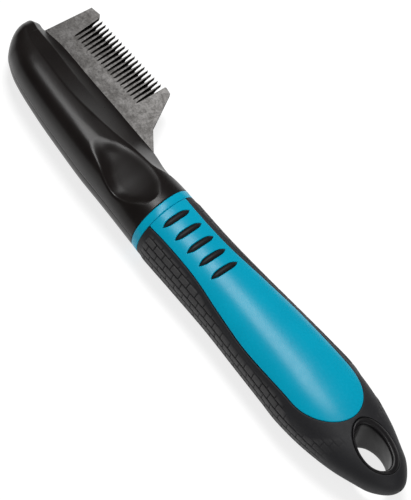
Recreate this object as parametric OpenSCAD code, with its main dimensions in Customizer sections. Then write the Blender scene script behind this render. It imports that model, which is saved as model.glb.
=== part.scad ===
// Dematting comb: a toothed steel plate held in a moulded head, on a soft-grip handle.
// It lies on its back. +X runs towards the tail, +Y is the way the teeth point, and
// +Z is up, out of the front panel. The origin is under the middle of its bounding box.

/* [Lengths] */
// Length of the head, from its tip to the collar
head_len = 82; // [78:1:86]
// Width of the collar ring, measured along the tool
collar_w = 3; // [2.4:0.2:4]
// Length of the handle, from the collar to the tail
handle_len = 121; // [121:1:126]
// How far the horns of the plate stand out from the line of the handle
plate_reach = 34; // [31:0.5:36]

/* [Handle] */
// Half width of the handle at its widest place
grip_half_w = 15.9; // [14.5:0.1:17]
// Half thickness of the handle at its thickest place
grip_half_t = 10.1; // [9:0.1:11]
// Thickness of the rubber over the core
rubber_t = 2.2; // [1.8:0.1:2.8]
// Half width of the front panel at its widest place
panel_half_w = 12.5; // [11.5:0.1:13]
// Length of the front panel, from the collar to its round end
panel_len = 94.8; // [90:0.4:94.8]

/* [Finger ribs] */
// Number of ribs that come through the front panel
rib_count = 5; // [3:1:6]
// Distance from one rib to the next
rib_pitch = 6; // [5:0.2:6.4]
// Length of a rib, across the tool
rib_len = 11.4; // [9:0.2:12.4]
// Width of a rib in its middle
rib_w = 2.4; // [1.8:0.1:3]

/* [Hanging hole] */
// Length of the hole, along the tool
hole_len = 17.2; // [15:0.2:17.6]
// Width of the hole, across the tool
hole_w = 9.8; // [9:0.2:10.4]
// Distance from the middle of the hole to the end of the tail
hole_inset = 15; // [14.6:0.1:15.2]
// Width of the hard rim round the hole
hole_rim = 2; // [1.6:0.1:2.2]

/* [Toothed plate] */
// Number of teeth between the two horns
tooth_count = 19; // [15:1:19]
// Distance from one tooth to the next
tooth_pitch = 1.65; // [1.6:0.01:1.7]
// Length of the grooves that part the teeth
groove_len = 11.7; // [10:0.1:12.5]
// Length of the teeth past the place where the grooves break through
open_len = 3.3; // [2.5:0.1:4]
// Thickness of the steel
plate_t = 1.6; // [1.4:0.1:1.8]

/* [Inside] */
// Diameter of the dowels that hold the plate
dowel_d = 3; // [2.5:0.1:3.5]
// Length of the core's tongue in the head
tongue_len = 17; // [14:0.5:18]
// Width of the tongue
tongue_w = 12; // [10:0.5:13]
// Thickness of the tongue
tongue_t = 8; // [6:0.5:8.5]

/* [Hidden] */

// Clearance between pieces that are pressed together
fit = 0.05;
// Overrun of a cutting solid past the face that it cuts
over = 1;

tool_len = head_len + collar_w + handle_len;
tip_x = -tool_len / 2;
head_end_x = tip_x + head_len;
handle_x = head_end_x + collar_w;
tail_x = tool_len / 2;
// Sideways drift of the widest section from the line of the handle
wide_drift = -1.8;
// The line of the handle, in the part's frame
line_y = (grip_half_w - wide_drift - plate_reach) / 2;
line_z = grip_half_t;

// Slant of the collar: how far it leans back along the tool per mm across it
collar_slant = 0.06;
skew_reach = 34;

// Roundness of the sections: 2 is an ellipse, more is squarer
front_power = 2.1;
back_power = 2.5;
// Points round a section, and rings along the handle and the head
ring_points = 40;
handle_rings = 27;
tail_rings = 7;
head_rings = 26;

// Handle sections: share of the handle length, half width and half height as shares of
// the largest ones, and sideways drift in mm
handle_sections = [
  [-0.03, 0.785, 0.98, 0.0],
  [0.00, 0.792, 0.98, -0.3],
  [0.15, 0.796, 0.98, -0.8],
  [0.30, 0.835, 0.99, -0.9],
  [0.45, 0.915, 1.00, -1.2],
  [0.56, 0.970, 1.00, -1.5],
  [0.63, 1.000, 0.99, wide_drift],
  [0.73, 0.955, 0.90, -2.2],
  [0.83, 0.830, 0.72, -2.8],
  [0.91, 0.625, 0.60, -3.1],
  [0.97, 0.450, 0.54, -3.2],
  [1.00, 0.400, 0.50, -3.2]
];
// Share of the handle length where the tail starts to close
tail_close = 0.93;
close_x = handle_x + tail_close * handle_len;

// Head sections: share of the head length, half width, half height, sideways drift, and
// the angle of the crease that parts the round body from the land beside the plate
head_sections = [
  [0.00, 6.4, 5.6, 9.2, 90],
  [0.05, 7.1, 6.3, 7.9, 92],
  [0.09, 8.4, 6.9, 6.9, 95],
  [0.17, 10.1, 8.0, 5.8, 97],
  [0.34, 11.2, 8.9, 4.1, 97],
  [0.51, 11.9, 9.5, 2.9, 91],
  [0.66, 12.3, 9.9, 1.9, 80.5],
  [0.77, 12.4, 10.0, 1.4, 70.5],
  [0.85, 12.1, 9.9, 0.6, 60],
  [0.92, 12.2, 9.9, 0.2, 36],
  [1.00, 12.5, 9.9, -0.1, 14]
];
// Share of the head length over which the tip closes
nose_close = 0.075;
// Angle of the foot of the land, where it meets the plate
land_foot = 6;
// Points on the land, from its foot to the crease
land_points = 4;

// Plate outline, as distance from the head tip and distance from the handle line
plate_left_foot = [5.8, 15.2];
plate_left = [7.8, plate_reach - 0.5];
plate_left_top = [11.4, plate_reach];
plate_left_inner = [12.5, plate_reach - 1];
plate_right_inner = [45.0, plate_reach - 1];
plate_right_top = [45.6, plate_reach - 0.4];
plate_right = [48.2, plate_reach - 0.9];
plate_knee = [55.3, 19.7];
plate_heel = [62.8, 13.6];
// Middle of the row of teeth, and the line of the tooth tips
teeth_x = tip_x + 28.8;
teeth_y = plate_reach - 0.9;
// Radius of a groove at its root and its growth per mm towards the tips
groove_root_r = 0.29;
groove_growth = 0.042;
// How far the cutting solid of a groove starts before its root, above the plate
groove_lead = 3;
// The part of the plate inside the head, and its dowels
tang_y = 3;
tang_left = 9;
tang_right = 58;
dowel_places = [16, 34, 52];
dowel_y = 8;
dowel_len = 8.4;

// The pin that locks the tongue in the head
pin_d = 3;
pin_len = 10;
pin_x = head_end_x - 8;

// Thumb scoop: middle of its wide end and of its narrow end, as distance from the head
// end and from the handle line, with their radii
scoop_wide = [-10.5, -0.8];
scoop_wide_r = 11;
scoop_narrow = [-25, -2.4];
scoop_narrow_r = 5;
scoop_depth = 3.2;
scoop_narrow_depth = 0.6;
// Height of the head's top over the handle line at the scoop
scoop_top = 9.9;
// Length of the scoop's wide end as a share of its width
scoop_squash = 0.75;

// Front panel outline: share of the way to its round end, and half width as a share
panel_sections = [[0, 0.66], [0.12, 0.64], [0.3, 0.68], [0.5, 0.84], [0.7, 0.97], [1, 1]];
// Sideways place of the panel's middle line: a drift of its own, and a share of the handle's
panel_drift = -0.65;
panel_follow = 0.6;
// Length of its round end
panel_round = 16.5;
panel_t = rubber_t;
// Middle of the first rib, from the collar, and how far the ribs stand proud
rib_start = 4.2;
rib_proud = 0.3;
// Sideways place of the ribs from the line of the handle
rib_drift = -0.8;
// The strip that carries the ribs under the panel
strip_t = 1.1;
strip_w = 14;
strip_margin = 2.6;

// Middle and turn of the hole, and how the rim is wider on the side of the teeth
hole_x = tail_x - hole_inset;
hole_drift = -3.2;
hole_turn = -10;
rim_shift = 0.6;
// How far the hard rim stands proud of the rubber
rim_proud = 0.35;
// Thickness of the collar's wall
collar_t = 3.2;

// ---------- curves and outlines ----------

// Row of a table of sections in which the value u lies
function row_of(table, u) =
  max([for (i = [0:len(table) - 2]) if (i == 0 || u >= table[i][0]) i]);

// Slope of column c at row i
function slope(table, i, c) =
  let (a = max(i - 1, 0), b = min(i + 1, len(table) - 1))
  (table[b][c] - table[a][c]) / (table[b][0] - table[a][0]);

// Value of column c at u, on a smooth curve through the rows
function along(table, u, c) =
  let (
    i = row_of(table, u),
    h = table[i + 1][0] - table[i][0],
    q = (u - table[i][0]) / h
  )
  (2 * q ^ 3 - 3 * q ^ 2 + 1) * table[i][c] + (q ^ 3 - 2 * q ^ 2 + q) * h * slope(table, i, c)
  + (3 * q ^ 2 - 2 * q ^ 3) * table[i + 1][c] + (q ^ 3 - q ^ 2) * h * slope(table, i + 1, c);

// Power that keeps the sign
function signed_power(v, p) = sign(v) * abs(v) ^ p;

// Point at angle f on a section with half width a and half height b
function section_point(a, b, f) =
  let (p = 2 / (sin(f) >= 0 ? front_power : back_power))
  [a * signed_power(cos(f), p), b * signed_power(sin(f), p)];

// Factor that closes an end: 1 before u0, and round down to a tenth at u1
function closing(u, u0, u1) = u <= u0 ? 1 : sqrt(1 - 0.99 * min(1, (u - u0) / (u1 - u0)) ^ 2);

// Slant of the sections near the collar, which fades out along the head and the handle
function neck_skew(x) =
  let (q = min(1, abs(x - (head_end_x + handle_x) / 2) / skew_reach))
  -collar_slant * (1 - q ^ 2) ^ 2;

// Ring round the handle at x, set in from its surface, for a tail that ends at end_x
function handle_ring(x, inset, end_x) =
  let (
    u = (x - handle_x) / handle_len,
    close = closing(x, close_x, end_x),
    a = (along(handle_sections, u, 1) * grip_half_w - inset) * close,
    b = (along(handle_sections, u, 2) * grip_half_t - inset) * close,
    drift = along(handle_sections, u, 3)
  )
  [for (j = [0:ring_points - 1])
    let (p = section_point(a, b, j * 360 / ring_points))
    [x + neck_skew(x) * p[0], line_y + drift + p[0], line_z + p[1]]];

// Point on the head at x and angle f; the land is a straight line from its foot to the crease
function head_point(x, f) =
  let (
    u = (x - tip_x) / head_len,
    close = closing(nose_close - u, 0, nose_close),
    a = along(head_sections, u, 1) * close,
    b = along(head_sections, u, 2) * close,
    p = section_point(a, b, f)
  )
  [x + neck_skew(x) * p[0], line_y + along(head_sections, u, 3) + p[0], line_z + p[1]];

function crease_angle(x) = along(head_sections, (x - tip_x) / head_len, 4);

// Half ring of the head above (side 1) or below (side -1) the plane of the plate
function head_half_ring(x, side) =
  let (
    crease = crease_angle(x),
    foot = head_point(x, side * land_foot),
    top = head_point(x, side * crease),
    arc = ring_points / 2 - land_points
  )
  [
    [foot[0], foot[1], line_z],
    for (j = [0:land_points - 1]) foot + (top - foot) * j / land_points,
    for (j = [0:arc]) head_point(x, side * (crease + (180 - crease) * j / arc))
  ];

// Closed solid through a list of rings that all have the same number of points
module loft(rings) {
  n = len(rings[0]);
  last = len(rings) - 1;
  middles = [for (r = [rings[0], rings[last]]) [for (c = [0:2]) [for (p = r) p[c]] * [for (p = r) 1 / n]]];
  polyhedron(
    [for (r = rings) each r, each middles],
    [
      for (i = [0:last - 1], j = [0:n - 1])
        let (k = (j + 1) % n)
        each [[i * n + j, (i + 1) * n + j, i * n + k], [i * n + k, (i + 1) * n + j, (i + 1) * n + k]],
      for (j = [0:n - 1]) [j, (j + 1) % n, (last + 1) * n],
      for (j = [0:n - 1]) [last * n + j, (last + 1) * n + 1, last * n + (j + 1) % n]
    ]
  );
}

// Closed solid through a list of rings that leads back to its first ring
module ring_loft(rings) {
  n = len(rings[0]);
  count = len(rings);
  polyhedron(
    [for (r = rings) each r],
    [
      for (i = [0:count - 1], j = [0:n - 1])
        let (k = (j + 1) % n, next = (i + 1) % count)
        each [[i * n + j, next * n + j, i * n + k], [i * n + k, next * n + j, next * n + k]]
    ]
  );
}

// Places of rings from x0 to x1, closer together towards x1
function ring_places(x0, x1, count) = [for (i = [0:count]) x0 + (x1 - x0) * sin(90 * i / count)];

// The handle's form from x0 to the tail, set in from the surface
module handle_form(x0, inset) {
  end_x = tail_x - inset;
  step = (close_x - handle_x) / handle_rings;
  straight = [for (i = [0:handle_rings - 1]) if (handle_x + i * step > x0 + fit) handle_x + i * step];
  places = concat([x0], straight, ring_places(close_x, end_x, tail_rings));
  loft([for (x = places) handle_ring(x, inset, end_x)]);
}

// Half of the head's form, above or below the plane of the plate
module head_form(side) {
  places = ring_places(head_end_x - fit, tip_x, head_rings);
  rings = [for (x = places) head_half_ring(x, side)];
  loft(side < 0 ? rings : [for (r = rings) [for (j = [len(r) - 1:-1:0]) r[j]]]);
}

// One moulded skin, kept as a single faceted body however many forms shape it
module moulded() {
  resize([0, 0, 0]) children();
}

// Front panel outline, drawn in by a margin
module panel_outline(margin) {
  round_x = handle_x + panel_len - panel_round;
  steps = 16;
  function half(u) = along(panel_sections, u, 1) * panel_half_w - margin;
  function middle(x) =
    line_y + panel_drift + panel_follow * along(handle_sections, (x - handle_x) / handle_len, 3);
  side = [for (i = [0:steps]) [handle_x + (round_x - handle_x) * i / steps, half(i / steps)]];
  end = [for (f = [84:-8:4]) [round_x + (panel_round - margin) * cos(f), half(1) * sin(f)]];
  edge = concat([[handle_x - 2 * over, half(0)]], side, end);
  left = [for (p = edge) [p[0], middle(p[0]) + p[1]]];
  right = [for (i = [len(edge) - 1:-1:0]) [edge[i][0], middle(edge[i][0]) - edge[i][1]]];
  polygon(concat(left, right));
}

// Lens outline of one rib, drawn in by a margin
module rib_outline(i, margin) {
  x = handle_x + rib_start + i * rib_pitch;
  half = rib_len / 2 - margin;
  bulge = rib_w / 2 - margin;
  side = [for (q = [-1:0.2:1]) [bulge * (1 - q ^ 2), half * q]];
  translate([x, line_y + rib_drift])
    polygon(concat(side, [for (j = [len(side) - 2:-1:1]) [-side[j][0], side[j][1]]]));
}

// Oval round the hanging hole, larger than the hole by a margin
module hole_outline(margin) {
  translate([hole_x, line_y + hole_drift + rim_shift * margin])
    rotate(hole_turn)
      scale([1, (hole_w + 2 * margin) / (hole_len + 2 * margin)])
        circle(d = hole_len + 2 * margin, $fn = 48);
}

// Upright prism on an outline, through the upper half or the whole of the handle
module upright(z0 = -over, z1 = 2 * grip_half_t + over) {
  translate([0, 0, z0]) linear_extrude(z1 - z0) children();
}

// ---------- toothed plate ----------

module plate_outline() {
  function at(p) = [tip_x + p[0], line_y + p[1]];
  polygon([
    at(plate_left_foot), at(plate_left), at(plate_left_top), at(plate_left_inner),
    at(plate_right_inner), at(plate_right_top), at(plate_right), at(plate_knee), at(plate_heel),
    at([tang_right, tang_y]), at([tang_left, tang_y])
  ]);
}

// Groove between two teeth: a slowly widening round-bottomed cut that dives through the plate
module groove(x) {
  dive = plate_t / (groove_len - open_len);
  axis_slope = dive - groove_growth;
  run = groove_len + groove_lead + over;
  r0 = groove_root_r - groove_growth * groove_lead;
  r1 = r0 + groove_growth * run;
  start_y = line_y + teeth_y - groove_len - groove_lead;
  translate([x, start_y, line_z + plate_t / 2 + r0 + dive * groove_lead])
    rotate([-atan(axis_slope), 0, 0]) {
      rotate([-90, 0, 0]) cylinder(h = run, r1 = r0, r2 = r1, $fn = 24);
      linear_extrude(plate_t + over) polygon([[-r0, 0], [r0, 0], [r1, run], [-r1, run]]);
    }
}

module dowel_holes(d) {
  for (x = dowel_places)
    translate([tip_x + x, line_y + dowel_y, line_z - dowel_len / 2 - fit])
      cylinder(h = dowel_len + 2 * fit, d = d, $fn = 32);
}

module blade() {
  color("silver")
    difference() {
      translate([0, 0, line_z - plate_t / 2]) linear_extrude(plate_t) plate_outline();
      for (i = [0:tooth_count]) groove(teeth_x + (i - tooth_count / 2) * tooth_pitch);
      dowel_holes(dowel_d + 2 * fit);
    }
}

module blade_dowels() {
  color("gainsboro")
    for (x = dowel_places)
      translate([tip_x + x, line_y + dowel_y, line_z - dowel_len / 2])
        cylinder(h = dowel_len, d = dowel_d, $fn = 32);
}

// ---------- head ----------

// Room in the head for the plate, its dowels, the tongue and the pin
module head_room() {
  translate([0, 0, line_z - plate_t / 2 - fit])
    linear_extrude(plate_t + 2 * fit) offset(delta = fit) plate_outline();
  dowel_holes(dowel_d + 2 * fit);
  translate([head_end_x - tongue_len - fit, line_y - tongue_w / 2 - fit, line_z - tongue_t / 2 - fit])
    cube([tongue_len + over, tongue_w + 2 * fit, tongue_t + 2 * fit]);
  translate([pin_x, line_y, line_z - pin_len / 2 - fit])
    cylinder(h = pin_len + 2 * fit, d = pin_d + 2 * fit, $fn = 32);
}

// Teardrop dish for the thumb
module thumb_scoop() {
  wide_z = line_z + scoop_top + scoop_wide_r - scoop_depth;
  narrow_z = line_z + scoop_top + scoop_narrow_r - scoop_narrow_depth;
  hull() {
    translate([head_end_x + scoop_wide[0], line_y + scoop_wide[1], wide_z])
      scale([scoop_squash, 1, 1]) sphere(scoop_wide_r, $fn = 40);
    translate([head_end_x + scoop_narrow[0], line_y + scoop_narrow[1], narrow_z])
      sphere(scoop_narrow_r, $fn = 24);
  }
}

module head_front_shell() {
  color("#1c1b1d")
    moulded()
      difference() {
        head_form(1);
        head_room();
        thumb_scoop();
      }
}

module head_back_shell() {
  color("#1c1b1d")
    moulded()
      difference() {
        head_form(-1);
        head_room();
      }
}

module neck_pin() {
  color("gainsboro")
    translate([pin_x, line_y, line_z - pin_len / 2]) cylinder(h = pin_len, d = pin_d, $fn = 32);
}

// ---------- handle ----------

// Short length of the neck, set in from the surface
module neck_form(x0, x1, inset) {
  loft([for (x = [x0, (x0 + x1) / 2, x1]) handle_ring(x, inset, tail_x)]);
}

module handle_core() {
  core_in = rubber_t + fit;
  color("#2a292b")
    moulded()
      difference() {
        union() {
          handle_form(handle_x + fit, core_in);
          neck_form(head_end_x + fit, handle_x + over, collar_t + fit);
          translate([head_end_x - tongue_len, line_y - tongue_w / 2, line_z - tongue_t / 2])
            cube([tongue_len + over, tongue_w, tongue_t]);
          intersection() {
            handle_form(hole_x - hole_len, -rim_proud);
            upright() hole_outline(hole_rim);
          }
        }
        upright() hole_outline(0);
        strip_room(fit);
        translate([pin_x, line_y, 0]) cylinder(h = 2 * line_z, d = pin_d + 2 * fit, $fn = 32);
      }
}

module collar() {
  places = [head_end_x, (head_end_x + handle_x) / 2, handle_x];
  color("#0289b0")
    moulded()
      ring_loft(concat(
        [for (x = places) handle_ring(x, 0, tail_x)],
        [for (i = [len(places) - 1:-1:0]) handle_ring(places[i], collar_t, tail_x)]
      ));
}

// Layer of the handle between two depths, over an outline on its upper half
module front_layer(x0, outer, inner) {
  intersection() {
    difference() {
      handle_form(x0, outer);
      handle_form(x0 - over, inner);
    }
    upright(line_z) children();
  }
}

module front_panel() {
  color("#0a94bb")
    moulded()
      difference() {
        front_layer(handle_x + fit, 0, panel_t) panel_outline(fit);
        upright(line_z) for (i = [0:rib_count - 1]) rib_outline(i, 0);
      }
}

// Outline of the strip that joins the ribs
module strip_outline(margin) {
  x0 = handle_x + rib_start - strip_margin;
  length = (rib_count - 1) * rib_pitch + 2 * strip_margin;
  translate([x0 - margin, line_y + rib_drift - strip_w / 2 - margin])
    square([length + 2 * margin, strip_w + 2 * margin]);
}

module strip_room(margin) {
  intersection() {
    difference() {
      handle_form(handle_x - over, 0);
      handle_form(handle_x - 2 * over, panel_t + strip_t + 2 * fit);
    }
    upright(line_z) strip_outline(margin);
  }
}

module rib_insert() {
  color("#161517")
    moulded() {
      front_layer(handle_x, panel_t + fit, panel_t + strip_t + fit) strip_outline(0);
      front_layer(handle_x, -rib_proud, panel_t + strip_t / 2)
        for (i = [0:rib_count - 1]) rib_outline(i, fit);
    }
}

module grip_sleeve() {
  color("#2e2e31")
    moulded()
      difference() {
        handle_form(handle_x + fit, 0);
        handle_form(handle_x - over, rubber_t);
        upright(line_z) panel_outline(0);
        upright() hole_outline(hole_rim + fit);
      }
}

blade();
blade_dowels();
head_front_shell();
head_back_shell();
neck_pin();
handle_core();
collar();
front_panel();
rib_insert();
grip_sleeve();
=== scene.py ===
"""Looks of the dematting comb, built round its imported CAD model.

It lies on its back: +X runs towards the tail, +Y is the way the teeth point, and +Z is up, out of
the front panel. Shapes are worked out in millimetres, and become metres when a mesh is made.
"""
import math

import bpy
import numpy as np
from mathutils import Matrix, Vector


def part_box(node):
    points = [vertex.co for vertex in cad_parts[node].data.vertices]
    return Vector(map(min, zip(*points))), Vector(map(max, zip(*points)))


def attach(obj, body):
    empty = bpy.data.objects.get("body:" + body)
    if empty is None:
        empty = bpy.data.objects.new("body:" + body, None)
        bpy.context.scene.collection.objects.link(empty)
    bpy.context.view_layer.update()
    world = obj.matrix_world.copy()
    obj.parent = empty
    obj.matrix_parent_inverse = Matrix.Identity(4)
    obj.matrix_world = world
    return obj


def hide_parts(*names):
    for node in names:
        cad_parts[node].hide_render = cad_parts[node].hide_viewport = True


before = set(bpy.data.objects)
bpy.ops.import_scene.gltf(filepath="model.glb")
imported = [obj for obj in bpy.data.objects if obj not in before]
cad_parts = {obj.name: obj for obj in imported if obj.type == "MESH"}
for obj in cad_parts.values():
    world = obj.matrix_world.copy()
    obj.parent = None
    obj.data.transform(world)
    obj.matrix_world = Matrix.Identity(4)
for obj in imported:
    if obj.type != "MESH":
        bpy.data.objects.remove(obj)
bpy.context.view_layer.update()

MM = 0.001


# ---------- sizes read from the frame ----------

def corners(node):
    """Lowest and highest corner of a CAD node, in millimetres."""
    low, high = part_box(node)
    return np.array(low) / MM, np.array(high) / MM


def middle_of(node):
    low, high = corners(node)
    return (low + high) / 2


TIP_X = min(corners("head_front_shell")[0][0], corners("head_back_shell")[0][0])
TAIL_X = corners("grip_sleeve")[1][0]
LINE_Y = middle_of("neck_pin")[1]
LINE_Z = middle_of("neck_pin")[2]
COLLAR_W = 3.0
HEAD_END_X = middle_of("collar")[0] - COLLAR_W / 2
HANDLE_X = HEAD_END_X + COLLAR_W
HEAD_LEN = HEAD_END_X - TIP_X
HANDLE_LEN = TAIL_X - HANDLE_X
PLATE_LOW, PLATE_HIGH = corners("blade")
PLATE_T = PLATE_HIGH[2] - PLATE_LOW[2]
# The depth under the plate's faces down to which their tone is full, and the depth over which it
# then fades into the painted shade of its edges and groove walls
PLATE_FACE = 0.01
PLATE_FADE = 0.13

# ---------- sections of the handle and the head ----------

GRIP_HALF_W = 15.9
GRIP_HALF_T = LINE_Z
RUBBER_T = 2.2
EDGE_FILLET = 0.3
# Gaps at the collar, and in plan round the panel and the rim of the hole
GAP = 0.05
SKIN_GAP = 0.06
FRONT_POWER = 2.1
BACK_POWER = 2.5
COLLAR_SLANT = 0.06
COLLAR_WALL = 3.2
SKEW_REACH = 34.0

# Share of the handle length, half width and half height as shares, sideways drift in mm
HANDLE_SECTIONS = np.array([
    [-0.03, 0.785, 0.98, 0.0],
    [0.00, 0.792, 0.98, -0.3],
    [0.15, 0.796, 0.98, -0.8],
    [0.30, 0.835, 0.99, -0.9],
    [0.45, 0.915, 1.00, -1.2],
    [0.56, 0.970, 1.00, -1.5],
    [0.63, 1.000, 0.99, -1.8],
    [0.73, 0.955, 0.90, -2.2],
    [0.83, 0.830, 0.72, -2.8],
    [0.91, 0.625, 0.60, -3.1],
    [0.97, 0.450, 0.54, -3.2],
    [1.00, 0.400, 0.50, -3.2],
])
CLOSE_X = HANDLE_X + 0.93 * HANDLE_LEN

# Share of the head length, half width, half height, sideways drift
HEAD_SECTIONS = np.array([
    [0.00, 6.4, 5.6, 10.2],
    [0.05, 7.1, 6.3, 8.0],
    [0.09, 8.4, 6.9, 6.9],
    [0.17, 10.1, 8.0, 5.8],
    [0.34, 11.2, 8.9, 4.1],
    [0.51, 11.9, 9.5, 2.9],
    [0.66, 12.3, 9.9, 1.9],
    [0.77, 12.4, 10.0, 1.4],
    [0.85, 12.1, 9.9, 0.6],
    [0.92, 12.2, 9.9, 0.2],
    [1.00, 12.5, 9.9, -0.1],
])
# The two creases between the round body and the plate. Share of the head length, angle of the
# upper crease, place of the lower one from the foot to the upper, and how far it stands out
HEAD_CREASES = np.array([
    [0.00, 90.0, 0.58, 1.0],
    [0.05, 92.0, 0.56, 1.3],
    [0.09, 95.0, 0.54, 1.4],
    [0.17, 97.0, 0.51, 1.2],
    [0.25, 97.0, 0.49, 0.9],
    [0.34, 97.0, 0.47, 0.5],
    [0.44, 94.5, 0.45, 0.15],
    [0.54, 89.5, 0.45, 0.0],
    [0.63, 83.5, 0.45, 0.0],
    [0.72, 75.0, 0.45, 0.0],
    [0.80, 68.0, 0.45, 0.0],
    [0.86, 58.0, 0.45, 0.0],
    [0.92, 36.0, 0.45, 0.0],
    [1.00, 14.0, 0.45, 0.0],
])
NOSE_CLOSE = 0.075
BEAK_CLOSE = 0.045
SHOULDER_POWER = 3.2
HEAD_LEAN = 0.11
LAND_FOOT = 6.0
LAND_STEPS = 29
# Rounding of the shells' end at the collar, how far in their seam goes, and the room that they
# leave over the plate
HEAD_EDGE = 0.3
SEAM_INSET = 2.5
PLATE_ROOM = 0.12

# Thumb scoop: place from the head end, height of its floor over the handle line, sideways
# middle, radius across, and tilt
SCOOP = np.array([
    [-31.0, 10.7, -2.9, 7.0, 0.20],
    [-28.0, 9.8, -2.6, 8.0, 0.20],
    [-25.0, 9.0, -1.8, 10.0, 0.19],
    [-22.0, 8.4, -1.2, 13.0, 0.22],
    [-18.0, 7.5, -1.0, 17.0, 0.28],
    [-13.0, 6.9, -0.6, 22.0, 0.30],
    [-8.5, 7.5, -0.8, 18.0, 0.28],
    [-5.0, 8.7, -1.8, 11.0, 0.22],
    [-3.0, 9.8, -2.5, 8.0, 0.16],
    [-1.5, 12.0, -2.5, 7.0, 0.16],
])
SCOOP_EDGE = 1.1

# Front panel: share of the way to its round end, half width as a share
PANEL_HALF_W = 12.5
PANEL_LEN = 94.2
PANEL_ROUND = 16.5
PANEL_SECTIONS = np.array([[0, 0.66], [0.12, 0.64], [0.3, 0.68], [0.5, 0.84], [0.7, 0.97], [1, 1]])
PANEL_DRIFT = -0.65
PANEL_FOLLOW = 0.6

RIB_COUNT = 5
RIB_PITCH = 6.0
RIB_START = 4.2
RIB_LEN = 11.4
RIB_W = 2.3
RIB_POWER = 4.0
RIB_DRIFT = -0.8
RIB_PROUD = 0.3
RIB_SINK = 0.45
# Room at a rib's sides and ends, and the share of its half length that its rows reach
RIB_SIDE_ROOM = 0.08
RIB_END_ROOM = 0.15
RIB_REACH = 0.985

HOLE_LEN = 17.2
HOLE_W = 9.8
HOLE_X = TAIL_X - 15.0
HOLE_Y = LINE_Y - 3.2
HOLE_TURN = math.radians(-10)
HOLE_RIM = 2.0
RIM_SHIFT = 0.6
RIM_PROUD = 0.35


def along(table, u, column):
    """Value of a column at u, on a smooth curve through the rows."""
    knots, values = table[:, 0], table[:, column]
    after = np.minimum(np.arange(len(knots)) + 1, len(knots) - 1)
    before = np.maximum(np.arange(len(knots)) - 1, 0)
    slopes = (values[after] - values[before]) / (knots[after] - knots[before])
    row = np.clip(np.searchsorted(knots, u, side="right") - 1, 0, len(knots) - 2)
    h = knots[row + 1] - knots[row]
    q = (u - knots[row]) / h
    return (
        (2 * q**3 - 3 * q**2 + 1) * values[row] + (q**3 - 2 * q**2 + q) * h * slopes[row]
        + (3 * q**2 - 2 * q**3) * values[row + 1] + (q**3 - q**2) * h * slopes[row + 1]
    )


def signed_power(v, p):
    return np.sign(v) * np.abs(v) ** p


def smooth_step(low, high, v):
    """Smooth step from 0 at low to 1 at high; a falling one has low over high."""
    q = np.clip((v - low) / (high - low), 0, 1)
    return q * q * (3 - 2 * q)


def smooth_min(a, b, reach):
    """The smaller of two heights, with a rounded edge about as wide as reach."""
    q = np.clip(0.5 + 0.5 * (b - a) / reach, 0, 1)
    return b + (a - b) * q - reach * q * (1 - q)


def section_point(a, b, f, front_power=FRONT_POWER):
    """Sideways and upward place of the point at angle f on a section."""
    power = 2 / np.where(np.sin(f) >= 0, front_power, BACK_POWER)
    return a * signed_power(np.cos(f), power), b * signed_power(np.sin(f), power)


def neck_skew(x):
    """How far sections near the collar slant: their shift along x for each mm sideways."""
    q = np.minimum(1, np.abs(x - (HEAD_END_X + HANDLE_X) / 2) / SKEW_REACH)
    return -COLLAR_SLANT * (1 - q**2) ** 2


def closing(u, start, end):
    """Share of the full size left by a round closing that runs from start to end."""
    q = np.clip((u - start) / (end - start), 0, 1)
    return np.sqrt(1 - 0.99 * q**2)


def handle_size(x, inset):
    """Half width, half height and drift of the handle's section at x, set in from its surface."""
    u = (x - HANDLE_X) / HANDLE_LEN
    close = closing(x, CLOSE_X, TAIL_X - np.maximum(inset, 0))
    a = (along(HANDLE_SECTIONS, u, 1) * GRIP_HALF_W - inset) * close
    b = (along(HANDLE_SECTIONS, u, 2) * GRIP_HALF_T - inset) * close
    return a, b, along(HANDLE_SECTIONS, u, 3)


def handle_point(x, f, inset=0.0):
    """Point at angle f on the handle's section, set in from the surface."""
    a, b, drift = handle_size(x, inset)
    side, up = section_point(a, b, f)
    return np.stack([x + neck_skew(x) * side, LINE_Y + drift + side, LINE_Z + up], -1)


def handle_height(x, y, inset=0.0, front=True):
    """Height of the handle's front or back over a place in plan."""
    a, b, drift = handle_size(x, inset)
    share = np.clip(np.abs(y - LINE_Y - drift) / a, 0, 1)
    power = FRONT_POWER if front else BACK_POWER
    up = b * (1 - share**power) ** (1 / power)
    return LINE_Z + (up if front else -up)


def shoulder_share(u):
    """How much of its square shoulder the head has at a share of its length."""
    return smooth_step(0, 0.22, u) * (1 - smooth_step(0.7, 1, u))


def head_power(u, f):
    """Power of the head's front section, which has a square shoulder away from the teeth."""
    full = FRONT_POWER + (SHOULDER_POWER - FRONT_POWER) * shoulder_share(u)
    return np.where(np.cos(f) < 0, full, FRONT_POWER)


def head_point(x, f):
    """Point on the head's round body. The tip closes later on the side of the teeth."""
    u = (x - TIP_X) / HEAD_LEN
    round_close = closing(NOSE_CLOSE - u, 0, NOSE_CLOSE)
    beak_close = closing(BEAK_CLOSE - u, 0, BEAK_CLOSE)
    close = round_close + (beak_close - round_close) * smooth_step(math.pi, math.pi / 2, np.abs(f))
    half_t = along(HEAD_SECTIONS, u, 2) * close
    side, up = section_point(along(HEAD_SECTIONS, u, 1) * close, half_t, f, head_power(u, f))
    up = up * np.where(up > 0, 1 - HEAD_LEAN * shoulder_share(u) * side / half_t, 1)
    drift = along(HEAD_SECTIONS, u, 3)
    return np.stack([x + neck_skew(x) * side, LINE_Y + drift + side, LINE_Z + up], -1)


# ---------- outlines in plan ----------

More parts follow.
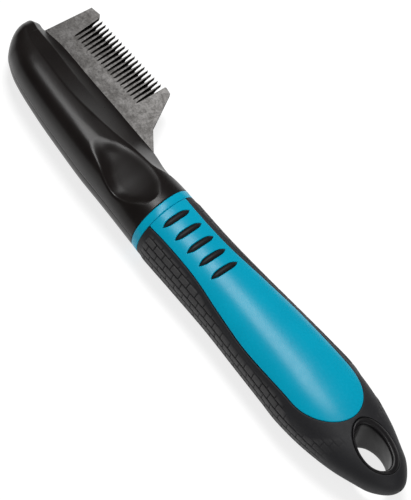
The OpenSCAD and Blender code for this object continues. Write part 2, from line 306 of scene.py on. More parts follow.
def panel_outline():
    """The front panel's closed outline, starting and ending under the collar."""
    round_x = HANDLE_X + PANEL_LEN - PANEL_ROUND
    u = np.linspace(0, 1, 60)
    f = np.radians(np.linspace(88, 0, 40))
    straight = HANDLE_X + (round_x - HANDLE_X) * u
    x = np.concatenate([[HANDLE_X - COLLAR_W], straight, round_x + PANEL_ROUND * np.cos(f)])
    share = np.concatenate([[PANEL_SECTIONS[0, 1]], along(PANEL_SECTIONS, u, 1), np.sin(f)])
    half = share * PANEL_HALF_W
    drift = along(HANDLE_SECTIONS, (x - HANDLE_X) / HANDLE_LEN, 3)
    middle = LINE_Y + PANEL_DRIFT + PANEL_FOLLOW * drift
    left = np.stack([x, middle + half], -1)
    right = np.stack([x, middle - half], -1)[-2::-1]
    return np.concatenate([left, right])


def rib_outline(i):
    """Outline of the opening for one finger rib, with blunt ends."""
    x = HANDLE_X + RIB_START + i * RIB_PITCH
    q = np.linspace(-1, 1, 25)
    side = np.stack([RIB_W / 2 * (1 - np.abs(q)**RIB_POWER), RIB_LEN / 2 * q], -1)
    back = (side * [-1, 1])[-2:0:-1]
    return np.concatenate([side, back]) + [x, LINE_Y + RIB_DRIFT]


def hole_outline(margin, count=128):
    """Oval round the hanging hole, larger than the hole by a margin."""
    f = np.linspace(0, 2 * math.pi, count, endpoint=False)
    x, y = (HOLE_LEN / 2 + margin) * np.cos(f), (HOLE_W / 2 + margin) * np.sin(f)
    c, s = math.cos(HOLE_TURN), math.sin(HOLE_TURN)
    return np.stack([HOLE_X + c * x - s * y, HOLE_Y + RIM_SHIFT * margin + s * x + c * y], -1)


def outline_distance(points, outline, reach=6.0):
    """Distance in plan from points to a closed outline, below 0 inside it and at most reach."""
    result = np.full(len(points), reach)
    low, high = outline.min(0) - reach, outline.max(0) + reach
    near = np.nonzero(((points > low) & (points < high)).all(1))[0]
    start, end = outline, np.roll(outline, -1, axis=0)
    step = end - start
    for part in np.array_split(near, max(1, len(near) // 8000)):
        p = points[part][:, None]
        q = np.clip(((p - start) * step).sum(-1) / (step**2).sum(-1), 0, 1)
        gap = np.linalg.norm(p - start - q[..., None] * step, axis=-1).min(1)
        crosses = (start[:, 1] > p[..., 1]) != (end[:, 1] > p[..., 1])
        with np.errstate(divide="ignore", invalid="ignore"):
            at = start[:, 0] + (p[..., 1] - start[:, 1]) / step[:, 1] * step[:, 0]
        inside = (crosses & (p[..., 0] < at)).sum(1) % 2 == 1
        result[part] = np.where(inside, -gap, np.minimum(gap, reach))
    return result


# ---------- meshes ----------

def make_piece(name, build, material, node, marked=False):
    """A smooth-shaded piece from what was built, which stands for a CAD node."""
    mesh = bpy.data.meshes.new(name)
    mesh.from_pydata((np.asarray(build.points) * MM).tolist(), [], build.faces)
    mesh.validate()
    mesh.shade_smooth()
    mesh.materials.append(material)
    piece = bpy.data.objects.new(name, mesh)
    bpy.context.scene.collection.objects.link(piece)
    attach(piece, "root")
    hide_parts(node)
    if marked:
        # The marks are tile heights, which the rubber uses for painted light on the tile tops and
        # painted shade in the grooves
        mesh.attributes.new("painted_tile_light", "FLOAT", "POINT").data.foreach_set("value", build.marks)
    return piece


class Build:
    """Points and faces of a mesh while it grows."""

    def __init__(self):
        self.points = []
        self.faces = []
        self.marks = []

    def add(self, points, marks=None):
        first = len(self.points)
        self.points.extend(np.asarray(points).reshape(-1, 3).tolist())
        added = np.arange(first, len(self.points))
        self.marks.extend([0.0] * len(added) if marks is None else np.ravel(marks).tolist())
        return added

    def grid(self, rows, closed=False):
        """Quads between rows of point numbers; a closed grid joins the ends of each row."""
        rows = np.asarray(rows)
        after = np.roll(rows, -1, axis=1)
        last = rows.shape[1] if closed else rows.shape[1] - 1
        a, b = rows[:-1, :last], rows[1:, :last]
        c, d = after[1:, :last], after[:-1, :last]
        self.faces.extend(np.stack([a, d, c, b], -1).reshape(-1, 4).tolist())

    def cap(self, ring, flip=False):
        ring = [int(k) for k in ring]
        middle = self.add(np.mean([self.points[k] for k in ring], 0))[0]
        for k, m in zip(ring, ring[1:] + ring[:1]):
            self.faces.append([m, k, int(middle)] if flip else [k, m, int(middle)])

    def compact(self):
        used = np.unique([k for face in self.faces for k in face])
        place = {int(k): i for i, k in enumerate(used)}
        self.points = [self.points[k] for k in used]
        self.marks = [self.marks[k] for k in used]
        self.faces = [[place[int(k)] for k in face] for face in self.faces]


def surface_normals(surface, u, v):
    """Outward normals of a surface by small steps along its two directions."""
    du, dv = 0.02, 0.002
    along_u = surface(u + du, v) - surface(u - du, v)
    along_v = surface(u, v + dv) - surface(u, v - dv)
    normal = np.cross(along_v, along_u)
    return normal / np.linalg.norm(normal, axis=-1, keepdims=True)


# The nearest that a cut comes to the corner of a cell, as a share of the cell's side
CORNER_SHARE = 0.04


def cut_skin(surface, us, vs, keep, depth, fillet, wrap=False, steps=5, mark=None):
    """A skin over a grid in (u, v), cut along the line where keep is 0, with rounded edges and
    walls that go down by depth.

    keep(plan, up, u) gets places in plan, whether they face up, and u. mark(u, v), if given, is
    the number that each point of the skin keeps for its material.
    """
    u, v = [g.ravel() for g in np.meshgrid(us, vs, indexing="ij")]
    columns = len(vs) if wrap else len(vs) - 1
    turn = 2 * math.pi
    surface_at = surface(u, v)
    value = keep(surface_at[:, :2], surface_at[:, 2] > LINE_Z, u) - fillet
    kept = value > 0
    number = np.arange(len(u)).reshape(len(us), len(vs))
    after = np.roll(number, -1, axis=1)
    cells = np.stack([
        number[:-1, :columns], after[:-1, :columns], after[1:, :columns], number[1:, :columns],
    ], -1).reshape(-1, 4)
    share = kept[cells].sum(1)
    build = Build()
    faces = cells[share == 4].tolist()
    new_u, new_v, crossing, pairs = [], [], {}, []

    def cross(p, q):
        key = (min(p, q), max(p, q))
        if key not in crossing:
            t = float(np.clip(value[p] / (value[p] - value[q]), CORNER_SHARE, 1 - CORNER_SHARE))
            end_v = v[q] - turn * round((v[q] - v[p]) / turn)
            crossing[key] = len(u) + len(new_u)
            new_u.append(u[p] + t * (u[q] - u[p]))
            new_v.append(v[p] + t * (end_v - v[p]))
        return crossing[key]

    for cell in cells[(share > 0) & (share < 4)].tolist():
        polygon, leaving, entering = [], None, None
        for p, q in zip(cell, cell[1:] + cell[:1]):
            if kept[p]:
                polygon.append(p)
            if kept[p] and not kept[q]:
                leaving = cross(p, q)
                polygon.append(leaving)
            if kept[q] and not kept[p]:
                entering = cross(p, q)
                polygon.append(entering)
        faces.append(polygon)
        pairs.append((leaving, entering))
    all_u, all_v = np.concatenate([u, new_u]), np.concatenate([v, new_v])
    build.add(surface(all_u, all_v), None if mark is None else mark(all_u, all_v))
    build.faces = faces
    following = dict(pairs)
    while following:
        chain = [next(iter(following))]
        while chain[-1] in following:
            chain.append(following.pop(chain[-1]))
        chain = chain[:-1]
        at = surface(all_u[chain], all_v[chain])
        up = surface_normals(surface, all_u[chain], all_v[chain])
        ahead = np.roll(at, -1, axis=0) - np.roll(at, 1, axis=0)
        for _ in range(3):
            ahead = (np.roll(ahead, 1, axis=0) + 2 * ahead + np.roll(ahead, -1, axis=0)) / 4
        out = np.cross(ahead, up)
        out /= np.linalg.norm(out, axis=1, keepdims=True)
        rows = [np.array(chain)]
        for k in range(1, steps + 1):
            f = math.pi / 2 * k / steps
            down = up * fillet * (1 - math.cos(f))
            rows.append(build.add(at + out * fillet * math.sin(f) - down))
        rows.append(build.add(at + out * fillet - up * depth))
        build.grid([row[::-1] for row in rows], closed=True)
    build.compact()
    return build


def spaced(low, high, step):
    return np.linspace(low, high, max(2, int(round((high - low) / step)) + 1))


def end_spaced(low, high, count):
    """Places from low to high, closer together towards high."""
    return low + (high - low) * np.sin(np.linspace(0, math.pi / 2, count))


# ---------- materials ----------

class Finish:
    """A Principled material with helpers for its procedural detail."""

    def __init__(self, name, **values):
        self.material = bpy.data.materials.new(name)
        self.material.use_nodes = True
        self.tree = self.material.node_tree
        self.shader = self.tree.nodes["Principled BSDF"]
        self.place = self.node("ShaderNodeTexCoord").outputs["Object"]
        self.height = None
        for socket, value in values.items():
            self.shader.inputs[socket.replace("_", " ")].default_value = value

    def node(self, kind, **settings):
        made = self.tree.nodes.new(kind)
        for key, value in settings.items():
            setattr(made, key, value)
        return made

    def noise(self, size_mm, detail=2.0, roughness=0.5, stretch=(1, 1, 1)):
        """Noise with features of about that size."""
        mapping = self.node("ShaderNodeMapping")
        mapping.inputs["Scale"].default_value = [1 / (size_mm * MM * s) for s in stretch]
        self.link(self.place, mapping.inputs["Vector"])
        noise = self.node("ShaderNodeTexNoise")
        noise.inputs["Scale"].default_value = 1.0
        noise.inputs["Detail"].default_value = detail
        noise.inputs["Roughness"].default_value = roughness
        self.link(mapping.outputs["Vector"], noise.inputs["Vector"])
        return noise.outputs["Fac"]

    def spread(self, value, low, high, start=0.3, end=0.7):
        """value, from start to end, as a number from low to high."""
        step = self.node("ShaderNodeMapRange")
        limits = {"From Min": start, "From Max": end, "To Min": low, "To Max": high}
        for socket, number in limits.items():
            step.inputs[socket].default_value = number
        self.link(value, step.inputs["Value"])
        return step.outputs["Result"]

    def colour(self, value, *stops):
        """A ramp from value to colours, given as (place, colour) pairs."""
        ramp = self.node("ShaderNodeValToRGB")
        elements = ramp.color_ramp.elements
        while len(elements) < len(stops):
            elements.new(0.5)
        for element, (place, colour) in zip(elements, stops):
            element.position = place
            element.color = (*colour, 1)
        self.link(value, ramp.inputs["Fac"])
        return ramp.outputs["Color"]

    def two_tone(self, value, dark, light):
        return self.colour(value, (0.3, dark), (0.7, light))

    def link(self, output, target):
        self.tree.links.new(output, target)

    def mix(self, factor, first, second, blend="MIX"):
        mixer = self.node("ShaderNodeMix", data_type="RGBA", blend_type=blend)
        for socket, value in (("Factor_Float", factor), ("A_Color", first), ("B_Color", second)):
            target = next(s for s in mixer.inputs if s.identifier == socket)
            if isinstance(value, bpy.types.NodeSocket):
                self.link(value, target)
            else:
                target.default_value = value if isinstance(value, float) else (*value, 1)
        return next(s for s in mixer.outputs if s.identifier == "Result_Color")

    def bump(self, value, height_mm, strength=1.0):
        """Adds relief of that height to the shader's normal."""
        bump = self.node("ShaderNodeBump")
        bump.inputs["Distance"].default_value = height_mm * MM
        bump.inputs["Strength"].default_value = strength
        self.link(value, bump.inputs["Height"])
        if self.height is not None:
            self.link(self.height, bump.inputs["Normal"])
        self.height = bump.outputs["Normal"]
        self.link(self.height, self.shader.inputs["Normal"])

    def feed(self, socket, output):
        self.link(output, self.shader.inputs[socket])


# Oval patch of matt texture in the thumb scoop: its half sizes, and its place behind the head's
# end and beside the middle line
MATT_HALF_LEN = 10.5
MATT_HALF_W = 7.0
MATT_BACK = 13.5
MATT_SIDE = 0.5


def black_plastic():
    """Satin moulded plastic with a very fine spark-eroded grain, and a matt thumb scoop."""
    finish = Finish("black_plastic", IOR=1.30)
    broad = finish.noise(9, 3)
    fine = finish.noise(0.35, 3, 0.6)
    base = finish.two_tone(broad, (0.0080, 0.0062, 0.0058), (0.0110, 0.0088, 0.0082))
    finish.feed("Base Color", base)
    plan = finish.node("ShaderNodeMapping")
    scale = np.array([1 / MATT_HALF_LEN, 1 / MATT_HALF_W, 0]) / MM
    centre = np.array([HEAD_END_X - MATT_BACK, LINE_Y - MATT_SIDE, 0]) * MM
    plan.inputs["Scale"].default_value = scale
    plan.inputs["Location"].default_value = -centre * scale
    finish.link(finish.place, plan.inputs["Vector"])
    length = finish.node("ShaderNodeVectorMath", operation="LENGTH")
    finish.link(plan.outputs["Vector"], length.inputs[0])
    matt = finish.spread(length.outputs["Value"], 0.24, 0.0, 0.70, 1.0)
    rough = finish.node("ShaderNodeMath", operation="ADD")
    finish.link(finish.spread(fine, 0.27, 0.34), rough.inputs[0])
    finish.link(matt, rough.inputs[1])
    finish.feed("Roughness", rough.outputs[0])
    finish.bump(fine, 0.006)
    finish.bump(finish.noise(3.5, 2), 0.012)
    return finish.material


def core_plastic():
    """Harder, glossier black plastic of the core and the rim of the hanging hole."""
    finish = Finish("core_plastic", IOR=1.30)
    fine = finish.noise(0.5, 3, 0.6)
    base = finish.two_tone(fine, (0.009, 0.0085, 0.009), (0.013, 0.012, 0.013))
    finish.feed("Base Color", base)
    finish.feed("Roughness", finish.spread(finish.noise(2.5, 3), 0.30, 0.40))
    finish.bump(fine, 0.004)
    return finish.material


def blue_plastic(name, low, high):
    """Blue plastic with a faint moulded waviness."""
    finish = Finish(name, IOR=1.25)
    broad = finish.noise(14, 2)
    base = finish.two_tone(broad, (0.001, 0.365, 0.55), (0.001, 0.390, 0.58))
    finish.feed("Base Color", base)
    finish.feed("Roughness", finish.spread(finish.noise(1.2, 3), low, high))
    finish.bump(finish.noise(0.45, 2), 0.004)
    finish.bump(finish.noise(2.6, 2), 0.010)
    return finish.material


def grip_rubber():
    """Matt charcoal rubber with fine speckle, with painted light on the tops of the tiles and
    painted shade in the grooves between them.
    """
    finish = Finish("grip_rubber", IOR=1.35)
    speckle = finish.noise(0.3, 4, 0.7)
    # A darker speckled tone for the grooves as painted shade, and a lighter one for the tile tops
    # as painted light
    low = finish.two_tone(speckle, (0.013, 0.013, 0.015), (0.021, 0.021, 0.023))
    high = finish.two_tone(speckle, (0.040, 0.039, 0.040), (0.066, 0.065, 0.066))
    # Share of the tile height at each point: it blends the painted shade of the grooves into the
    # painted light on the tile tops
    painted_tile_light = finish.node("ShaderNodeAttribute", attribute_name="painted_tile_light").outputs["Fac"]
    finish.feed("Base Color", finish.mix(painted_tile_light, low, high))
    finish.feed("Roughness", finish.spread(finish.noise(1.6, 3), 0.50, 0.60))
    finish.bump(speckle, 0.012)
    return finish.material


def rib_rubber():
    """Darker, smoother rubber of the finger ribs."""
    finish = Finish("rib_rubber", IOR=1.25)
    speckle = finish.noise(0.3, 4, 0.7)
    base = finish.two_tone(speckle, (0.008, 0.008, 0.009), (0.014, 0.014, 0.015))
    finish.feed("Base Color", base)
    finish.feed("Roughness", finish.spread(finish.noise(1.6, 3), 0.42, 0.52))
    finish.bump(speckle, 0.010)
    return finish.material


def plate_steel():
    """Blasted steel: mottled grey with a soft sparkle, painted darker near the head and lighter
    towards its far end as painted light and shade, and painted dark in the grooves and on the edges
    as painted shade.
    """
    finish = Finish("plate_steel", Metallic=1.0, Specular_Tint=(0.15, 0.15, 0.15, 1))
    grain = finish.noise(0.8, 4, 0.7)
    patch = finish.noise(2.4, 3, 0.6)
    base = finish.two_tone(patch, (0.048, 0.046, 0.044), (0.094, 0.091, 0.089))
    speck = finish.colour(grain, (0.38, (0.55, 0.55, 0.55)), (0.62, (1.25, 1.25, 1.25)))
    place = finish.node("ShaderNodeSeparateXYZ")
    finish.link(finish.place, place.inputs[0])
    # Painted light and shade: the face is painted darker near the head and lighter towards the tail
    # end and the tips of the teeth
    painted_light_gradient = finish.node("ShaderNodeMath", operation="MULTIPLY")
    painted_light_by_x = finish.spread(place.outputs["X"], 0.8, 1.5, PLATE_LOW[0] * MM, PLATE_HIGH[0] * MM)
    painted_light_by_y = finish.spread(place.outputs["Y"], 0.65, 1.7, PLATE_LOW[1] * MM, PLATE_HIGH[1] * MM)
    finish.link(painted_light_by_x, painted_light_gradient.inputs[0])
    finish.link(painted_light_by_y, painted_light_gradient.inputs[1])
    # Painted shade: away from its two faces, on its edges and the walls of its grooves, the plate
    # is painted dark
    depth = finish.node("ShaderNodeMath", operation="SUBTRACT")
    finish.link(place.outputs["Z"], depth.inputs[0])
    depth.inputs[1].default_value = LINE_Z * MM
    away = finish.node("ShaderNodeMath", operation="ABSOLUTE")
    finish.link(depth.outputs[0], away.inputs[0])
    full = PLATE_T / 2 - PLATE_FACE
    face = finish.spread(away.outputs[0], 0, 1, (full - PLATE_FADE) * MM, full * MM)
    # The face colour, with the painted light and shade along the blade
    face_with_painted_light = finish.mix(1.0, finish.mix(1.0, base, speck, "MULTIPLY"), painted_light_gradient.outputs[0], "MULTIPLY")
    # Dark painted shade on the edges and groove walls, and the face colour on the faces
    finish.feed("Base Color", finish.mix(face, (0.028, 0.025, 0.024), face_with_painted_light))
    finish.feed("Roughness", finish.spread(grain, 0.40, 0.55))
    finish.bump(grain, 0.02)
    return finish.material


def pin_steel():
    """Bright turned steel of the hidden pins."""
    finish = Finish("pin_steel", Metallic=1.0)
    turned = finish.noise(0.4, 2, 0.5, (1, 1, 8))
    base = finish.two_tone(turned, (0.48, 0.48, 0.47), (0.58, 0.58, 0.57))
    finish.feed("Base Color", base)
    finish.feed("Roughness", finish.spread(turned, 0.22, 0.32))
    return finish.material


def floor_with_painted_glow():
    """White sweep with a painted glow that fades out away from the object, so that the floor and
    the object's shadow on it stay white round the object.
    """
    finish = Finish("floor_with_painted_glow", Roughness=0.9)
    cloud = finish.noise(160, 2)
    base = finish.two_tone(cloud, (0.30, 0.30, 0.30), (0.33, 0.33, 0.33))
    finish.feed("Base Color", base)
    length = finish.node("ShaderNodeVectorMath", operation="LENGTH")
    finish.link(finish.place, length.inputs[0])
    # Painted glow: emission that is strong round the object and fades out by half a metre, lifting
    # the floor and its shadow to white
    finish.shader.inputs["Emission Color"].default_value = (1, 1, 1, 1)
    finish.feed("Emission Strength", finish.spread(length.outputs["Value"], 0.78, 0.05, 0.16, 0.50))
    return finish.material


# ---------- pieces ----------

def scoop_floor(x, y):
    """Height of the thumb scoop's floor in plan."""
    place = np.clip(x - HEAD_END_X, SCOOP[0, 0], SCOOP[-1, 0])
    floor, middle, radius, tilt = [along(SCOOP, place, column) for column in (1, 2, 3, 4)]
    off = y - LINE_Y - middle
    return LINE_Z + floor + off**2 / (2 * radius) + tilt * off


def soften(ring, corner, reach, passes):
    """Rounds the corner in column corner of each ring."""
    for _ in range(passes):
        part = ring[:, corner - reach:corner + reach + 1]
        part[:, 1:-1] = (part[:, :-2] + 2 * part[:, 1:-1] + part[:, 2:]) / 4


def head_rows(side):
    """Rings of points over one head shell, from the plate's plane over the back of the head."""
    end = HEAD_END_X - GAP
    turn_x = end - HEAD_EDGE
    nose_len = NOSE_CLOSE * HEAD_LEN
    x = np.concatenate([
        TIP_X + (1 - np.cos(np.linspace(0, math.pi / 2, 48))) * nose_len,
        spaced(TIP_X + nose_len, turn_x, 0.28)[1:],
        turn_x + HEAD_EDGE * np.sin(np.linspace(0, math.pi / 2, 5))[1:],
    ])[:, None]
    u = (x - TIP_X) / HEAD_LEN
    crease = np.radians(along(HEAD_CREASES, u, 1))
    if side > 0:
        share = np.cos(crease)
        crease = np.arccos(signed_power(share, head_power(u, crease) / FRONT_POWER))
    foot = head_point(x, side * np.radians(LAND_FOOT))
    upper = head_point(x, side * crease)
    past_low = smooth_step(PLATE_LOW[0] - 0.3, PLATE_LOW[0] + 0.1, x)
    past_high = smooth_step(PLATE_HIGH[0] - 0.1, PLATE_HIGH[0] + 0.3, x)
    lift = past_low * (1 - past_high) * (PLATE_T / 2 + PLATE_ROOM)
    seam = np.concatenate([foot[..., :2], LINE_Z + side * lift[..., None]], -1)
    inner = seam - [0, SEAM_INSET, 0]
    foot[..., 2] = LINE_Z + side * np.maximum(side * (foot[..., 2] - LINE_Z), lift + 0.15)
    slope = upper - foot
    outward = np.stack([0 * x, side * slope[..., 2], -side * slope[..., 1]], -1)
    outward /= np.linalg.norm(outward, axis=-1, keepdims=True)
    lower = foot + slope * along(HEAD_CREASES, u, 2)[..., None]
    lower = lower + outward * along(HEAD_CREASES, u, 3)[..., None]
    share = np.linspace(0, 1, LAND_STEPS + 1)[None, 1:, None]
    land = foot + (lower - foot) * share
    facet = lower + (upper - lower) * share
    arc = head_point(x, side * (crease + (math.pi - crease) * np.linspace(0, 1, 130)[None, 1:]))
    low = foot + (seam - foot) * 0.3
    ring = np.concatenate([inner, seam, low, foot, land, facet, arc], 1)
    foot_column = 3
    soften(ring, foot_column + LAND_STEPS, 3, 2)
    soften(ring, foot_column + 2 * LAND_STEPS, 5, 3)
    over = np.maximum(0, x - turn_x)
    drop = HEAD_EDGE - np.sqrt(np.maximum(0, HEAD_EDGE**2 - over**2))
    centre = LINE_Y + along(HEAD_SECTIONS, u, 3)
    half_w, half_t = 12, 10
    ring[..., 1] += (centre - ring[..., 1]) * drop / half_w
    ring[..., 2] += (LINE_Z - ring[..., 2]) * drop / half_t
    if side > 0:
        floor = scoop_floor(ring[..., 0], ring[..., 1])
        high = ring[..., 2] > LINE_Z + 3
        ring[..., 2] = np.where(high, smooth_min(ring[..., 2], floor, SCOOP_EDGE), ring[..., 2])
    return ring


def head_shell(name, side, material):
    """The front shell of the head where side is 1, and the back shell where it is -1."""
    ring = head_rows(side)
    build = Build()
    rows = build.add(ring).reshape(ring.shape[:2])
    order = slice(None) if side > 0 else slice(None, None, -1)
    build.grid(rows[:, order])
    build.grid(rows[:, [-1, 0]] if side > 0 else rows[:, [0, -1]])
    build.cap(rows[0, order], flip=True)
    build.cap(rows[-1, order])
    return make_piece(name, build, material, name.replace("shape", "shell"))


def collar_ring(material):
    """The thin ring between the head and the handle, with rounded edges."""
    edge = EDGE_FILLET
    f = np.linspace(0, math.pi / 2, 5)
    near = [(HEAD_END_X + edge * (1 - math.sin(a)), edge * (1 - math.cos(a))) for a in f[::-1]]
    far = [(HEAD_END_X + HANDLE_X - x, inset) for x, inset in near[::-1]]
    profile = [(HEAD_END_X, COLLAR_WALL), *near, *far, (HANDLE_X, COLLAR_WALL)]
    turn = np.linspace(0, 2 * math.pi, 240, endpoint=False)
    build = Build()
    rows = [build.add(handle_point(np.full(turn.shape, x), turn, inset)) for x, inset in profile]
    build.grid(rows + rows[:1], closed=True)
    return make_piece("collar_ring", build, material, "collar")


def front_panel(material):
    """The smooth panel on the front of the handle, with an opening for each finger rib."""
    outline = panel_outline()
    ribs = [rib_outline(i) for i in range(RIB_COUNT)]
    start = HANDLE_X + GAP

    def keep(plan, up, x):
        value = np.minimum(-outline_distance(plan, outline) - SKIN_GAP, x - start)
        for rib in ribs:
            value = np.minimum(value, outline_distance(plan, rib, 2.0))
        return value

    # The grid reaches a little past the panel, and the cut takes the rest away
    us = spaced(HANDLE_X - 0.2, HANDLE_X + PANEL_LEN + 0.4, 0.3)
    vs = np.radians(spaced(18, 162, 1.35))
    build = cut_skin(handle_point, us, vs, keep, RUBBER_T, EDGE_FILLET)
    return make_piece("panel_skin", build, material, "front_panel")


def rib_rows(i):
    """Rows of points over one rib, from its deep skirt over its crowned top."""
    x0, y0 = HANDLE_X + RIB_START + i * RIB_PITCH, LINE_Y + RIB_DRIFT
    q = np.sin(np.linspace(-math.pi / 2, math.pi / 2, 48))[:, None] * RIB_REACH
    w = np.sin(np.linspace(-math.pi / 2, math.pi / 2, 17))[None]
    x = x0 + w * (RIB_W / 2 - RIB_SIDE_ROOM) * (1 - np.abs(q)**RIB_POWER)
    y = y0 + q * (RIB_LEN / 2 - RIB_END_ROOM) + 0 * w
    crown = np.sqrt(np.maximum(0, 1 - w**2)) * np.sqrt(np.maximum(0, 1 - q**6))
    z = handle_height(x, y) - RIB_SINK + (RIB_PROUD + RIB_SINK) * crown
    top = np.stack([x, y, z], -1)
    skirt = top[:, [0, -1]].copy()
    skirt[..., 2] -= RUBBER_T
    return np.concatenate([skirt[:, :1], top, skirt[:, 1:]], 1)


def rib_strip(material):
    """The row of finger ribs as one piece."""
    build = Build()
    for i in range(RIB_COUNT):
        ring = rib_rows(i)
        rows = build.add(ring).reshape(ring.shape[:2])
        build.grid(rows)
        build.grid(rows[:, [-1, 0]])
        build.cap(rows[0], flip=True)
        build.cap(rows[-1])
    return make_piece("finger_ribs", build, material, "rib_insert")


TILE_LEN = 4.4
TILE_W = 2.35
TILE_GROOVE = 0.32
TILE_HEIGHT = 0.3
# Where a tile's bank starts and ends, in groove widths from the middle of the groove
TILE_BANK = (0.45, 0.95)
TILE_MARGIN = 1.7
TAIL_MARGIN = 4.0


def tile_lines(low, high, pitch, count):
    """Places from low to high that follow the grooves of tiles with that pitch."""
    foot, top = np.array(TILE_BANK) * TILE_GROOVE
    inner = np.linspace(0, pitch, count + 2)[1:-1]
    pattern = np.concatenate([[-top, -foot, foot, top], inner])
    first, last = math.floor(low / pitch) - 1, math.ceil(high / pitch) + 1
    places = (np.arange(first, last)[:, None] * pitch + pattern[None]).ravel()
    return np.sort(places[(places > low) & (places < high)])


def tile_relief(x, across, fade):
    """Height of raised brick tiles in rows along the handle; across runs round the section."""
    row = np.floor(across / TILE_W)
    shifted = (x - HANDLE_X) / TILE_LEN + 0.5 * (row % 2)
    edge_u = (0.5 - np.abs(shifted % 1 - 0.5)) * TILE_LEN
    edge_v = (0.5 - np.abs(across / TILE_W % 1 - 0.5)) * TILE_W
    gap = np.minimum(edge_u, edge_v)
    foot, top = np.array(TILE_BANK) * TILE_GROOVE
    return TILE_HEIGHT * fade * smooth_step(foot, top, gap)


def grip_sleeve(material):
    """The tiled rubber round the handle, open for the front panel and for the rim of the hole."""
    outline = panel_outline()
    rim = hole_outline(HOLE_RIM)
    start = HANDLE_X + GAP

    # Arc length round the section, scaled so that a whole, even number of tile rows fits
    fine_f = np.linspace(0, 2 * math.pi, 1441)
    mid_x = HANDLE_X + 0.35 * HANDLE_LEN
    ring = handle_point(np.full(fine_f.shape, mid_x), fine_f)
    arc = np.concatenate([[0], np.cumsum(np.linalg.norm(np.diff(ring, axis=0), axis=1))])
    arc *= round(arc[-1] / (2 * TILE_W)) * 2 * TILE_W / arc[-1]

    def relief(x, f):
        base = handle_point(x, f)
        across = np.interp(f % (2 * math.pi), fine_f, arc)
        up = base[..., 2] > LINE_Z
        away = outline_distance(base[..., :2].reshape(-1, 2), outline, 9.0).reshape(np.shape(x))
        # Tiles fade at both ends of the handle and keep clear of the panel, by more at the tail
        u = (x - HANDLE_X) / HANDLE_LEN
        fade = smooth_step(0.012, 0.03, u) * (1 - smooth_step(0.70, 0.84, u))
        margin = TILE_MARGIN + TAIL_MARGIN * smooth_step(0.58, 0.78, u)
        fade = fade * np.where(up, smooth_step(margin - 0.6, margin, away), 1)
        return tile_relief(x, across, fade)

    # Share of the full tile height, kept on the skin for the rubber's painted light on the tile
    # tops and painted shade in the grooves
    def mark(x, f):
        return relief(x, f) / TILE_HEIGHT

    def surface(x, f):
        return handle_point(x, f, -relief(x, f))

    def keep(plan, up, x):
        value = np.where(up, outline_distance(plan, outline), 6.0)
        return np.minimum(np.minimum(value, outline_distance(plan, rim) - SKIN_GAP), x - start)

    tiled = HANDLE_X + tile_lines(-0.2, 0.86 * HANDLE_LEN, TILE_LEN / 2, 2)
    us = np.concatenate([
        tiled, spaced(tiled[-1], CLOSE_X, 0.5)[1:], end_spaced(CLOSE_X, TAIL_X, 40)[1:]])
    vs = np.interp(tile_lines(-0.01, arc[-1] - 0.05, TILE_W, 3), arc, fine_f)
    build = cut_skin(surface, us, vs, keep, RUBBER_T, EDGE_FILLET, wrap=True, mark=mark)
    tail = [k for k, p in enumerate(build.points) if abs(p[0] - TAIL_X) < 1e-6]
    tail.sort(key=lambda k: math.atan2(build.points[k][2] - LINE_Z, build.points[k][1]))
    build.cap(tail)
    return make_piece("grip_skin", build, material, "grip_sleeve", marked=True)


def core_with_rim(material):
    """The hard core: its rim stands in the opening of the rubber and lines the hanging hole."""
    build = Build()
    count = 160
    inner, outer = hole_outline(0, count), hole_outline(HOLE_RIM, count)

    def at(share, inset, front):
        plan = inner + (outer - inner) * share
        z = handle_height(plan[:, 0], plan[:, 1], 0.0, front) + (-inset if front else inset)
        return np.column_stack([plan, z])

    # Share of the rim's width from the hole, and depth under the handle's surface
    bead = [
        (0.0, 0.9), (0.03, 0.35), (0.10, 0.0), (0.24, -0.24), (0.42, -RIM_PROUD),
        (0.60, -RIM_PROUD), (0.78, -0.24), (0.92, 0.05), (0.99, 0.45), (1.0, RUBBER_T),
    ]
    front_rows = [at(share, inset, True) for share, inset in bead]
    back_rows = [at(share, inset, False) for share, inset in bead]
    wall = [front_rows[0] + (back_rows[0] - front_rows[0]) * t for t in np.linspace(0, 1, 14)[1:-1]]
    rows = [build.add(r) for r in front_rows[::-1] + wall + back_rows]
    build.grid(rows, closed=True)
    build.grid([rows[-1], rows[0]], closed=True)
    return make_piece("core_and_rim", build, material, "handle_core")


def dress(node, material, bevel_mm=0.0):
    """Gives a CAD node that stays its material, and rounds its sharp edges a little."""
    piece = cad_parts[node]
    piece.data.materials.clear()
    piece.data.materials.append(material)
    if bevel_mm:
        bevel = piece.modifiers.new("edges", "BEVEL")
        bevel.width = bevel_mm * MM
        bevel.segments = 2
        bevel.limit_method = "ANGLE"
        bevel.angle_limit = math.radians(30)


black = black_plastic()
head_shell("head_front_shape", 1, black)
head_shell("head_back_shape", -1, black)
collar_ring(blue_plastic("collar_blue", 0.22, 0.28))
front_panel(blue_plastic("panel_blue", 0.24, 0.30))
rib_strip(rib_rubber())
grip_sleeve(grip_rubber())
core_with_rim(core_plastic())
dress("blade", plate_steel(), 0.06)
steel = pin_steel()
dress("blade_dowels", steel)
dress("neck_pin", steel)


# ---------- floor, lights and camera ----------

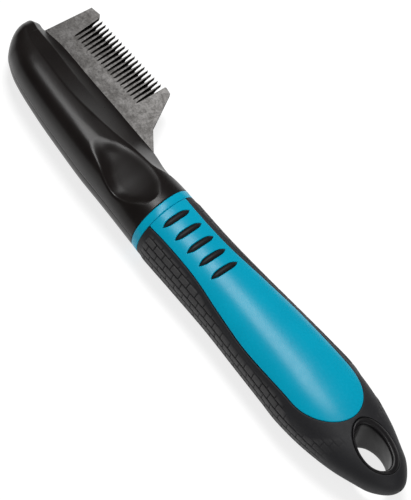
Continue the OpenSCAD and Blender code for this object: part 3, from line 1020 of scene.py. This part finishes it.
def floor_sheet():
    """A wide sheet just under the object; its size and drop are in metres."""
    size = 3.0
    drop = 0.0002
    build = Build()
    side = np.linspace(-size, size, 5)
    x, y = np.meshgrid(side, side, indexing="ij")
    rows = build.add(np.stack([x, y, np.full(x.shape, -drop)], -1) / MM).reshape(5, 5)
    build.grid(rows)
    mesh = bpy.data.meshes.new("floor")
    mesh.from_pydata((np.array(build.points) * MM).tolist(), [], build.faces)
    mesh.materials.append(floor_with_painted_glow())
    sheet = bpy.data.objects.new("floor", mesh)
    bpy.context.scene.collection.objects.link(sheet)


def soft_light(name, direction, distance, width, depth, radiance):
    """A rectangular soft light that faces the object from a direction."""
    data = bpy.data.lights.new(name, "AREA")
    data.shape = "RECTANGLE"
    data.size, data.size_y = width, depth
    data.energy = radiance * math.pi * width * depth
    light = bpy.data.objects.new(name, data)
    back = Vector(direction).normalized()
    light.location = back * distance
    light.rotation_mode = "QUATERNION"
    light.rotation_quaternion = back.to_track_quat("Z", "Y")
    bpy.context.scene.collection.objects.link(light)


def studio():
    soft_light("key", (-0.30, 0.18, 0.93), distance=1.0, width=0.33, depth=0.5, radiance=15.0)
    soft_light("tail_fill", (0.80, -0.25, 0.55), distance=1.0, width=0.8, depth=0.6, radiance=1.5)
    world = bpy.data.worlds.new("studio")
    world.use_nodes = True
    background = world.node_tree.nodes["Background"]
    background.inputs["Color"].default_value = (1, 1, 1, 1)
    background.inputs["Strength"].default_value = 0.10
    bpy.context.scene.world = world


# Distance in metres, and a long lens, for a view with hardly any perspective
CAMERA_AWAY = 4.48
CAMERA_LENS = 1000


def camera():
    """Looks from the photograph's angle: back points at the camera, and up is the picture's."""
    data = bpy.data.cameras.new("camera")
    data.sensor_width = 36
    data.lens = CAMERA_LENS
    view = bpy.data.objects.new("camera", data)
    back = Vector((0.326, -0.444, 0.835)).normalized()
    up = Vector((-0.694, 0.487, 0.530))
    right = up.cross(back).normalized()
    up = back.cross(right)
    target = Vector((-2.8, LINE_Y + 4.1, LINE_Z - 0.1)) * MM
    turn = Matrix((right, up, back)).transposed().to_4x4()
    view.matrix_world = Matrix.Translation(target + back * CAMERA_AWAY) @ turn
    bpy.context.scene.collection.objects.link(view)
    bpy.context.scene.camera = view


floor_sheet()
studio()
camera()
bpy.context.scene.view_settings.view_transform = "Standard"
